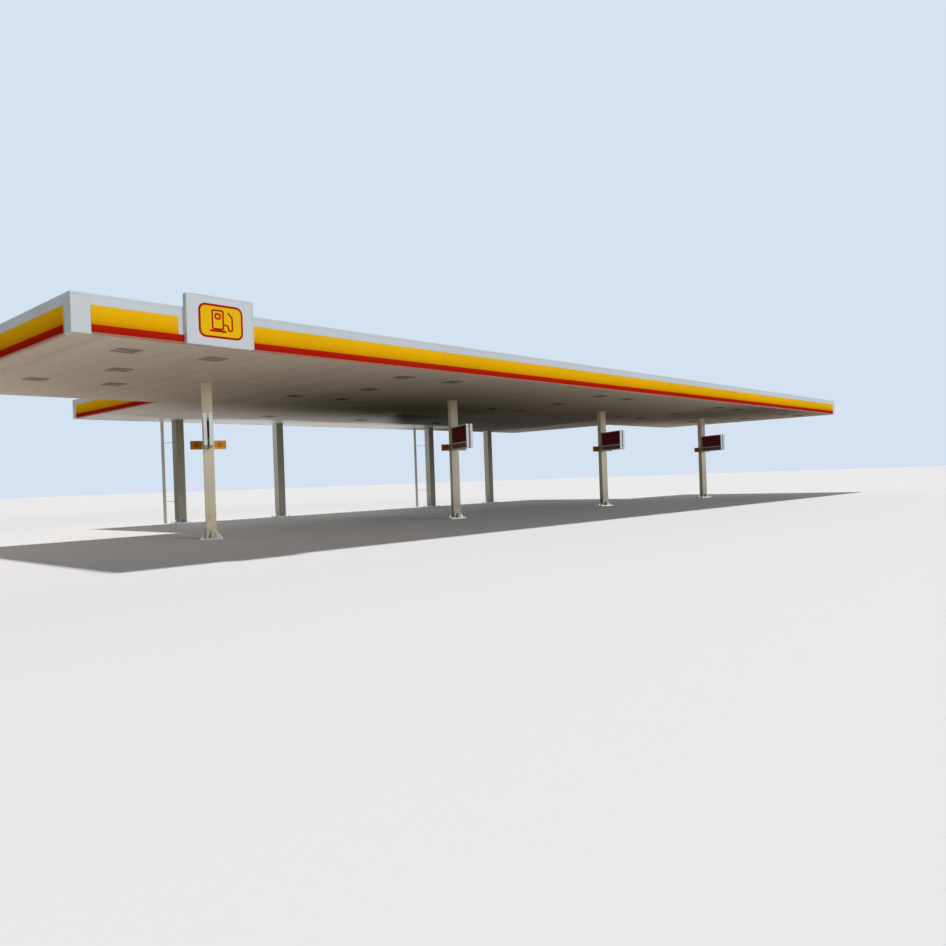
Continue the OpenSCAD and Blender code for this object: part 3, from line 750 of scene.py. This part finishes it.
def bolt(shape, place, size, stem=0.0):
    """A washer and a hexagon head or nut that stand on the place's z = 0, with a stud above."""
    shape.prism(circle(size * WASHER_R, 14), 0, size * WASHER_T, place, LAST)
    shape.lathe(NUT, place, 6, LAST, size)
    if stem:
        shape.lathe([(size * STUD_R, size * STUD_FOOT), (size * STUD_R, size + stem),
                     (size * STUD_TIP_R, size + stem + STUD_TIP)], place, 10, LAST)


def screw(shape, place, radius=0.006):
    shape.lathe(SCREW, place, 6, LAST, radius)


def facing_out(x, z, out=0.0):
    """A place on a side's face whose z points outward."""
    return moved(x, -out, z) @ TO_FRONT


# Fascia
def cap_flashing():
    """The folded cap round the roof's edge, with a saddle over each of its joints."""
    shape = Shape("cap_flashing", "fascia_white")
    saddles = Shape("cap_saddles", "fascia_white", fixed=True)
    lip, over, rise, crown, gap = 0.042, 0.004, 0.003, 0.004, 0.001
    foot, top, mid = TOP_Z - lip, TOP_Z + rise, -CAP_W / 2
    shape.ring_round([
        (gap, foot), (0.005, foot - 0.005), (0.007, foot - 0.004), (over, foot + 0.003), (over, top),
        (mid, top + crown), (-CAP_W - over, top), (-CAP_W - over, foot - 0.004), (-CAP_W - gap, foot - 0.004),
        (-CAP_W - gap, TOP_Z + gap), (mid, TOP_Z + 0.003), (gap, TOP_Z + gap),
    ])

    half, lift, sheet, screw_x, screw_drop = 0.045, 0.002, 0.0018, 0.028, 0.022
    low, high, ridge = foot + lift, top + lift, top + crown + lift
    front, back = over + lift, -CAP_W - over - lift
    cover = [(front, low), (front, high), (mid, ridge), (back, high), (back, low)]
    under = [(back + sheet, low), (back + sheet, high - sheet), (mid, ridge - sheet),
             (front - sheet, high - sheet), (front - sheet, low)]
    for side in SIDES:
        for s in side.joints:
            saddles.bar(cover + under, s - half, s + half, side.place)
            for x in (s - screw_x, s + screw_x):
                screw(saddles, side.place @ facing_out(x, TOP_Z - screw_drop, front), radius=0.005)


def fascia_joints():
    """Sealed joints between the fascia's panels, above and below the bands, with rivets beside them."""
    shape = Shape("fascia_joints", "fascia_white", "joint_sealant")
    rivets = Shape("fascia_rivets", "fascia_white")
    half, sunk, proud, rivet_x = 0.003, 0.0005, 0.0008, 0.035
    stretches = ((YELLOW_HIGH + 0.007, TOP_Z - 0.053), (LOW_Z + 0.001, RED_LOW - 0.007))
    dome = [(0.006, 0), (0.0055, 0.0015), (0.003, 0.0028)]
    for side in SIDES:
        for s in [side.start, *side.joints, side.end]:
            for z0, z1 in stretches:
                shape.block((s - half, -proud, z0), (s + half, sunk, z1), side.place)
            for x in (s - rivet_x, s + rivet_x):
                if side.start < x < side.end:
                    for z in (YELLOW_HIGH + 0.03, TOP_Z - 0.075):
                        rivets.lathe(dome, side.place @ facing_out(x, z), 8)


def yellow_cover(lift, steps=9):
    """A sheet over the yellow band's bowed front, as (out, z)."""
    front = []
    for i in range(steps + 1):
        angle = math.radians(90 * i / steps)
        front.append((BAND_TOP_OUT + (BAND_OUT - BAND_TOP_OUT) * math.cos(angle) + lift,
                      YELLOW_HIGH - (YELLOW_HIGH - YELLOW_LOW) * (1 - math.sin(angle))))
    return front + [(0.001, YELLOW_HIGH), (0.001, YELLOW_LOW)]


def band_spans(side):
    """Start and end of each stretch of the yellow bands on a side, and the same of the red ones."""
    start, end = side.band_start, side.band_end
    if side is not SIDES[0]:
        return [(start, end)], [(start, end)]
    sign_left, sign_right = (corner.x + HALF_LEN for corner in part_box("sign_panel"))
    yellow_stop = min(box[1].x for box in solids("front_yellow_bands")) + HALF_LEN
    return [(start, yellow_stop), (sign_right, end)], [(start, sign_left), (sign_right, end)]


def band_trims():
    """Retaining strips over and under the bands, straps over their joints and caps on their ends."""
    strips = Shape("band_retainers", "fascia_white")
    yellow = Shape("yellow_straps", "yellow_band")
    red = Shape("red_straps", "red_stripe")
    lift, strap, cap_in, cap_out, strip_h, strip_out = 0.0015, 0.006, 0.003, 0.0015, 0.006, 0.003
    bowed = yellow_cover(lift)
    straight = [(0.001, RED_LOW), (BAND_OUT - 0.006, RED_LOW - lift), (BAND_OUT + lift, RED_LOW + 0.005),
                (BAND_OUT + lift, YELLOW_LOW), (0.001, YELLOW_LOW)]
    kinds = (yellow, bowed, YELLOW_HIGH), (red, straight, RED_LOW - strip_h)
    for side in SIDES:
        for spans, (shape, cover, z) in zip(band_spans(side), kinds):
            for start, end in spans:
                strips.block((start, -BAND_TOP_OUT - strip_out, z), (end, 0, z + strip_h), side.place)
                shape.bar(cover, start - cap_out, start + cap_in, side.place)
                shape.bar(cover, end - cap_in, end + cap_out, side.place)
                for s in side.joints:
                    if start + LEAST_PANEL < s < end - LEAST_PANEL:
                        shape.bar(cover, s - strap, s + strap, side.place)


# Soffit
def soffit_trims():
    """An edge trim behind the fascia's return, and a screwed cover where the two soffits meet."""
    edge = Shape("soffit_edge_trim", "soffit_paint")
    seam = Shape("soffit_seam_cover", "soffit_paint")
    screws = Shape("soffit_seam_screws", "galvanised_steel", "soffit_screw")
    inner = -RETURN_W
    edge.ring_round([
        (inner + 0.012, SOFFIT_Z - 0.0055), (inner - 0.024, SOFFIT_Z - 0.0005),
        (inner - 0.02, LOW_Z - 0.001), (inner + 0.01, LOW_Z - 0.004), (inner + 0.012, LOW_Z - 0.001),
    ])

    width, slope, depth = 0.045, 0.025, 0.004
    screw_count, screw_pitch, screw_y = 43, 0.6, 0.012
    y, end = MID_Y - SHEET, HALF_WING - RETURN_W - 0.03
    outline = [(-width, 0), (-width + slope, -depth), (width - slope, -depth), (width, 0)]
    seam.bar(outline, -end, end, moved(0, y, SOFFIT_Z))
    for x in row(screw_count, screw_pitch):
        for offset in (-screw_y, screw_y):
            screw(screws, moved(x, y + offset, SOFFIT_Z - depth) @ TO_GROUND, radius=0.004)


def light_parts():
    """In each light a shallow glass cushion with a bead, and a gasket and four screws for its frame."""
    glass = Shape("light_lenses", "light_body", "light_lens")
    beads = Shape("light_beads", "light_body")
    screws = Shape("light_screws", "galvanised_steel", "soffit_screw")
    for box in solids("main_lights") + solids("wing_lights"):
        half = (box[1].x - box[0].x) / 2
        lens, face = half - LIGHT_RIM, box[0].z
        seat = face + LIGHT_SINK
        place = under(box)
        cushion = ((0.004, 0.0003), (0.004, 0.003), (0.03, 0.0055), (0.11, 0.0072))
        glass.layers([at(square(lens - inset), seat - drop) for inset, drop in cushion], place)
        for outer, inner, z0, z1 in ((lens - 0.001, lens - 0.01, seat - 0.005, seat - 0.0032),
                                     (half + 0.004, half, face + 0.006, SOFFIT_Z - SEAT)):
            beads.frame(square(outer), square(inner), z0, z1, place)
        spot = half - LIGHT_RIM / 2
        for x, y in four(spot, spot):
            screw(screws, place @ moved(x, y, face) @ TO_GROUND)


# Columns
def column_parts():
    """Sealant and screws at the collars, welds at the feet and the anchor bolts."""
    sealant = Shape("collar_sealant", "soffit_paint", "joint_sealant")
    screws = Shape("collar_screws", "galvanised_steel", "soffit_screw")
    welds = Shape("foot_welds", "galvanised_steel")
    anchors = Shape("anchor_bolts", "galvanised_steel")
    bead_w, bead_h = 0.007, 0.006
    weld = ((0.01, 0), (0.0095, 0.002), (0.0005, 0.011))
    for place, tube in COLUMNS:
        half = tube / 2
        collar = SOFFIT_Z - COLLAR_T
        body, bead = (pad(half + w, half + w, TUBE_R + w) for w in (0, bead_w))
        sealant.frame(bead, body, collar - bead_h, collar - SEAT, place)
        reach = half + COLLAR_W - 0.02
        for x in (-reach, 0, reach):
            for y in (-reach, 0, reach):
                if x or y:
                    screw(screws, place @ moved(x, y, collar) @ TO_GROUND)
        skirt = [at(pad(half + w, half + w, TUBE_R + w), BASE_T + z) for w, z in weld]
        welds.layers(skirt, place, ends=False)
        hole = half + BASE_OUT - BOLT_EDGE
        for x, y in four(hole, hole):
            bolt(anchors, place @ moved(x, y, BASE_T), size=0.024, stem=0.035)


# Roof
def rib_places(half):
    """The middles of a deck's ribs, an even number of them."""
    return row(2 * math.floor((half - DECK_EDGE - RIB_FOOT_W / 2) / RIB_PITCH + 0.5), RIB_PITCH)


def deck_parts():
    """Screws over the purlins, and foam closures in the ribs' ends."""
    screws = Shape("deck_screws", "galvanised_steel", "fixings")
    closures = Shape("rib_closures", "deck_sheet", "rib_foam")
    for low, high in solids("purlins"):
        for x in rib_places(high.x):
            screw(screws, moved(x, (low.y + high.y) / 2, DECK_HIGH.z), radius=0.008)

    rib_low = DECK_HIGH.z - RIB_H - DECK_T
    foot, crown, height, front, back, inset = 0.052, 0.029, RIB_H - 0.002, 0.001, 0.029, 0.03
    filler = [(-foot, 0), (-crown, height), (crown, height), (foot, 0)]
    main_ends, wing_ends = (DECK_LOW.y, DECK_HIGH.y - inset), (WING_DECK_HIGH.y - inset,)
    for half, ends in ((DECK_HIGH.x, main_ends), (WING_DECK_HIGH.x, wing_ends)):
        for x in rib_places(half):
            for y in ends:
                closures.bar(filler, front, back, moved(x, y, rib_low) @ turned(QUARTER))


def roof_flashings():
    """An apron between the deck and the fascias, and a screwed cover over the joint of the two decks."""
    apron = Shape("parapet_flashing", "deck_sheet")
    cover = Shape("roof_joint_cover", "deck_sheet", fixed=True)
    top = DECK_HIGH.z
    back, rise, foot, sheet = -SHEET - 0.0005, 0.085, 0.075, 0.0015
    apron.ring_round([
        (back, top + rise), (back, top + sheet), (back - foot, top + sheet),
        (back - foot - 0.008, top - 0.014), (back - foot - 0.0095, top - 0.0135),
        (back - foot - 0.001, top + 2 * sheet), (back - sheet, top + 2 * sheet), (back - sheet, top + rise),
    ], open_side=WING_REAR)

    y, wide, screw_count, screw_y = MID_Y - SHEET, 0.17, 44, 0.14
    ridge = [(-wide, -0.016), (-wide + 0.008, 0.001), (0, 0.012), (wide - 0.008, 0.001), (wide, -0.016),
             (wide + 0.0015, -0.015), (wide - 0.007, 0.0028), (0, 0.014), (-wide + 0.007, 0.0028),
             (-wide - 0.0015, -0.015)]
    end = HALF_WING - SHEET - 0.002
    cover.bar(ridge, -end, end, moved(0, y, top))
    for x in row(screw_count, 2 * RIB_PITCH):
        for offset in (-screw_y, screw_y):
            screw(cover, moved(x, y + offset, top + 0.003), radius=0.007)


def bracket_cleats():
    """An angle on both sides of each parapet bracket's foot, each with two bolts into the deck."""
    cleats = Shape("bracket_cleats", "galvanised_steel", fixed=True)
    thick, wide, stand, gap, bolt_y = 0.006, 0.05, 0.028, 0.004, 0.034
    for low, high in solids("parapet_brackets"):
        length = max((high - low).xy)
        turn = turned(QUARTER if high.x - low.x < length else 0)
        place = under((low, high)) @ moved(0, 0, DECK_LOW.z + DECK_T) @ turn
        start, end = 0.01 - length / 2, length / 2 - 0.005
        for side in (1, -1):
            for reach, z0, z1 in ((wide, SEAT, thick), (thick, thick, stand)):
                cleats.block((start, side * gap, z0), (end, side * (gap + reach), z1), place)
            for x in (-length / 4, length / 4):
                bolt(cleats, place @ moved(x, side * bolt_y, thick), size=0.012, stem=0.008)


# Rainwater
def gutter_straps():
    straps = Shape("gutter_straps", "galvanised_steel", fixed=True)
    count, half, thick, lap = 26, 0.012, 0.003, 0.03
    front, rear, top = GUTTER_LOW.y, GUTTER_HIGH.y, GUTTER_HIGH.z
    for x in row(count, 2 * GUTTER_HIGH.x / count):
        straps.block((x - half, front - lap, top), (x + half, rear - 0.001, top + thick))
        for y in (front - lap / 2, (front + rear) / 2):
            screw(straps, moved(x, y, top + thick))


def pipe_parts():
    """A wire guard over each outlet of the gutter, and sockets down its pipe."""
    guards = Shape("outlet_guards", "galvanised_steel", "fixings")
    sockets = Shape("pipe_sockets", "pipe_plastic")
    floor = GUTTER_LOW.z + DECK_T
    wires, wire_r, dome_r, dome_h, steps = 10, 0.0025, 0.058, 0.075, 6
    arc = [(dome_r * math.cos(QUARTER * i / steps), dome_h * math.sin(QUARTER * i / steps))
           for i in range(steps + 1)]
    wire = [[(x + u, v, z + u * 0.3) for u, v in circle(wire_r, 5)] for x, z in arc]
    ring_in, ring_out, ring_t = 0.056, 0.064, 0.003
    half, wall, lip_h, lip_wall = 0.045, 0.006, 0.012, 0.009
    socket_heights = (GUTTER_LOW.z - 0.09, 2.9, 1.35)
    for box in solids("downpipes"):
        place = under(box)
        for k in range(wires):
            guards.layers(wire, place @ moved(0, 0, floor) @ turned(k * math.tau / wires))
        guards.sleeve(ring_out, ring_in, floor, floor + ring_t, place, 20)
        for z in socket_heights:
            sockets.sleeve(PIPE_R + wall, PIPE_R, z - half, z + half, place)
            sockets.sleeve(PIPE_R + lip_wall, PIPE_R, z + half - lip_h, z + half, place)


def pipe_stays():
    """Flat bars that tie each downpipe back to the column beside it."""
    stays = Shape("pipe_stays", "galvanised_steel", fixed=True)
    heights, half_h, half_t, ring_t, bolt_y = (3.3, 0.9), 0.0125, 0.003, 0.005, 0.036
    plate, plate_t, plate_x, plate_y = pad(0.035, 0.05, 0.008), 0.006, 0.045 - REAR_TUBE / 2, REAR_TUBE / 2
    for box, column in zip(solids("downpipes"), (REAR_COLUMNS[0], REAR_COLUMNS[2])):
        pipe = middle(box)
        x, y = column.translation.x + plate_x, column.translation.y + plate_y
        line, length = laid(x, y, pipe.x, pipe.y)
        for z in heights:
            stays.block((2 * plate_t, -half_t, -half_h), (length - PIPE_R - ring_t - 0.001, half_t, half_h),
                        line @ moved(0, 0, z))
            stays.sleeve(PIPE_R + ring_t, PIPE_R + SEAT, -half_h, half_h, moved(pipe.x, pipe.y, z))
            foot = moved(x, y, z) @ TO_REAR
            stays.prism(plate, SEAT, plate_t, foot)
            for up in (-bolt_y, bolt_y):
                bolt(stays, foot @ moved(0, up, plate_t), size=0.012, stem=0.004)


# Sign
def stroke(shape, points, width, z0, z1, place):
    """A flat line of even width with round joints and ends, its parts a hair apart in height."""
    hair = 0.0001
    for i, (x, y) in enumerate(points):
        shape.prism(circle(width / 2, 20), z0, z1 - hair * (i % 3), place @ moved(x, y, 0))
    for start, end in zip(points, points[1:]):
        line, length = laid(*start, *end)
        shape.prism(rectangle(0, -width / 2, length, width / 2), z0, z1 + hair, place @ line)


def sign_parts():
    """A face sheet in the panel's recess, a rim round it, and on it a plain fuel pump sign in layers."""
    face = Shape("sign_face", "sign_white", bevel=0.0008)
    rim = Shape("sign_rim", "sign_white", bevel=0.001)
    screws = Shape("sign_screws", "galvanised_steel", "fixings")
    red = Shape("sign_figure", "red_stripe", "sign_red")
    yellow = Shape("sign_field", "yellow_band", "sign_yellow")
    low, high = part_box("sign_panel")
    centre = middle((low, high))
    half_w, _, half_h = (high - low) / 2
    place = moved(centre.x, low.y, centre.z) @ TO_FRONT
    sheet, lap, rim_depth = 0.003, 0.002, 0.018
    face_r, rim_r, rim_inner_r = 0.012, 0.027, 0.01
    level, edge, inner = sheet - PANEL_SINK, PANEL_RIM + 0.003, PANEL_RIM - lap
    face.prism(pad(half_w - edge, half_h - edge, face_r), SEAT - PANEL_SINK, level, place)

    rim.frame(pad(half_w + lap, half_h + lap, rim_r), pad(half_w - inner, half_h - inner, rim_inner_r),
              -rim_depth, lap, place)
    screw_x, screw_y = half_w - 0.05, half_h - 0.011
    for x in (-screw_x, -screw_x / 3, screw_x / 3, screw_x):
        for y in (-screw_y, screw_y):
            screw(screws, place @ moved(x, y, lap), radius=0.005)

    badge_w, badge_h, badge_r, border = 0.49, 0.34, 0.15, 0.045
    z0, z1, z2, z3 = (level + i * sheet for i in range(4))
    red.prism(pad(badge_w, badge_h, badge_r, 8), z0, z1, place)
    yellow.prism(pad(badge_w - border, badge_h - border, badge_r - border, 8), z1, z2, place)
    line, outer_r, inner_r, plinth_r = 0.034, 0.045, 0.018, 0.012
    pump = (-0.21, -0.17, 0.06, 0.235)
    window = (-0.145, 0.035, -0.005, 0.165)
    plinth = (-0.255, -0.215, 0.105, -0.172)
    for left, foot, right, top in (pump, window):
        red.frame(rounded(left, foot, right, top, outer_r),
                  rounded(left + line, foot + line, right - line, top - line, inner_r), z2, z3, place)
    red.prism(rounded(*plinth, plinth_r, 3), z2, z3, place)
    hose = [(0.075, -0.06), (0.125, -0.06), (0.155, -0.09), (0.155, -0.14), (0.185, -0.17), (0.215, -0.17),
            (0.245, -0.14), (0.245, 0.09), (0.225, 0.125), (0.16, 0.19)]
    stroke(red, hose, line, z2, z3, place)


# Boards and flags on the front columns
def board_parts():
    """Beads round the boards' panels, their dull feet, their end caps and the clamps of their arms."""
    trims = Shape("board_beads", "board_white")
    feet = Shape("board_feet", "board_white", "board_foot")
    caps = Shape("board_ends", "board_white", fixed=True)
    clamps = Shape("arm_clamps", "galvanised_steel", fixed=True)
    board_low, board_high = (corner.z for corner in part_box("board_pair_1"))
    inner, outer = BOARD_GAP / 2, BOARD_GAP / 2 + BOARD_T
    near = -(FRONT_TUBE / 2 + BOARD_START)
    far = near - BOARD_W
    panel_low = board_high - BOARD_RIM - BOARD_PANEL_H
    panel, foot = (panel_low, board_high - BOARD_RIM), (board_low + BOARD_RIM, panel_low - BOARD_RIM)
    bead_out, bead_in, bead_t, foot_t = 0.01, 0.004, 0.004, 0.002
    cap_t, lap, screw_edge, clamp_t = 0.003, 0.001, 0.06, 0.008
    clamp, arm_hole, bolts = pad(0.075, 0.055, 0.008), pad(inner, ARM_H / 2, 0.001), four(0.055, 0.036)
    for place in FRONT_COLUMNS:
        for side in (-1, 1):
            face = place @ moved(side * outer, 0, 0) @ turned(side * QUARTER) @ TO_FRONT
            left, right = sorted((side * near, side * far))
            left, right = left + BOARD_RIM, right - BOARD_RIM
            for z0, z1 in (panel, foot):
                sheet = left, z0, right, z1
                trims.frame(rectangle(*sheet, bead_out), rectangle(*sheet, -bead_in), SEAT, bead_t, face)
            feet.prism(rectangle(*sheet, -bead_in), SEAT, foot_t, face)
            for y, out, turn in ((near, cap_t, TO_REAR), (far, -cap_t, TO_FRONT)):
                caps.block((side * (inner - lap), y, board_low - lap),
                           (side * (outer + lap), y + out, board_high + lap), place)
                for z in (board_low + screw_edge, (board_low + board_high) / 2, board_high - screw_edge):
                    spot = moved(side * (inner + outer) / 2, y + out, z)
                    screw(caps, place @ spot @ turn)
        for z in (board_low + ARM_EDGE + ARM_H / 2, board_high - ARM_EDGE - ARM_H / 2):
            plate = place @ moved(0, -FRONT_TUBE / 2, z) @ TO_FRONT
            clamps.frame(clamp, arm_hole, SEAT, clamp_t, plate)
            for x, y in bolts:
                bolt(clamps, plate @ moved(x, y, clamp_t), size=0.01)


def digit_shape(text, size, half_t=0.001):
    """The points and faces of a plain number, flat, with its middle at the origin."""
    data = bpy.data.curves.new("number", "FONT")
    data.body, data.size, data.extrude = text, size, half_t
    data.align_x, data.align_y = "CENTER", "CENTER"
    data.resolution_u = 3
    thing = new_object("number", data)
    bpy.context.view_layer.update()
    mesh = bpy.data.meshes.new_from_object(thing)
    points = [tuple(vertex.co) for vertex in mesh.vertices]
    faces = [list(polygon.vertices) for polygon in mesh.polygons]
    bpy.data.objects.remove(thing)
    bpy.data.meshes.remove(mesh)
    bpy.data.curves.remove(data)
    return points, faces


def flag_parts():
    """A rim, a disc and a number on both faces of each flag, and the cleats that hold it to its column."""
    rims = Shape("flag_rims", "flag_orange")
    discs = Shape("flag_discs", "flag_orange", "flag_disc")
    numbers = Shape("flag_numbers", "flag_orange", "flag_number")
    cleats = Shape("flag_cleats", "galvanised_steel")
    low, high = (corner.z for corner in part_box("number_flags"))
    centre_z, half_w, half_h = (low + high) / 2, FLAG_W / 2, (high - low) / 2
    outer_r, inner_r, rim_w, rim_t = 0.02, 0.012, 0.012, 0.0025
    disc_r, disc_t, digit_size, digit_z = 0.06, 0.003, 0.098, 0.0042
    cleat_w, cleat_t, cleat_half, cleat_edge = 0.03, 0.004, 0.018, 0.05
    for i, column in enumerate(FRONT_COLUMNS):
        for side in (-1, 1):
            number = 2 * i + (1 if side < 0 else 2)
            points, faces = digit_shape(str(number), digit_size)
            for y, turn in ((-FLAG_T / 2, TO_FRONT), (FLAG_T / 2, turned(math.pi) @ TO_FRONT)):
                face = column @ moved(side * (FRONT_TUBE + FLAG_W) / 2, y, centre_z) @ turn
                rims.frame(pad(half_w, half_h, outer_r), pad(half_w - rim_w, half_h - rim_w, inner_r),
                           SEAT, rim_t, face)
                discs.prism(circle(disc_r, 32), SEAT, disc_t, face)
                numbers.add(points, faces, face @ moved(0, 0, digit_z))
            edge = side * FRONT_TUBE / 2
            for z in (low + cleat_edge, high - cleat_edge):
                for y in (-1, 1):
                    cleats.block((edge, y * (FLAG_T / 2 + SEAT), z - cleat_half),
                                 (edge + side * cleat_w, y * (FLAG_T / 2 + cleat_t), z + cleat_half), column)


# The camera is fitted to the photograph's vanishing points
make_camera((-25.175, -23.012, 1.337), angles=(-46.972, -0.224, -1.989), lens=30.158, shift=(0.00687, 0.0111))
make_world(light=(0.92, 0.97, 1.0), strength=0.14, backdrop=(0.66, 0.76, 0.88))
make_floor(shown=(0.79, 0.79, 0.81), bounced=(0.6, 0.57, 0.52))
sun("high_lamp", towards=(-0.01, 0.263, 0.965), strength=2.5, spread=4, colour=(1.0, 0.98, 0.94))
sun("front_lamp", towards=(0.1, -0.985, 0.14), strength=1.75, spread=24, colour=(0.95, 0.98, 1.0))
sun("back_lamp", towards=(0.6, 0.75, 0.28), strength=0.9, spread=40, colour=(0.95, 0.98, 1.0))

finish_nodes()
cap_flashing()
fascia_joints()
band_trims()
soffit_trims()
light_parts()
column_parts()
deck_parts()
roof_flashings()
bracket_cleats()
gutter_straps()
pipe_parts()
pipe_stays()
sign_parts()
board_parts()
flag_parts()
for shape in SHAPES:
    shape.make()

bpy.context.scene.view_settings.view_transform = "Standard"
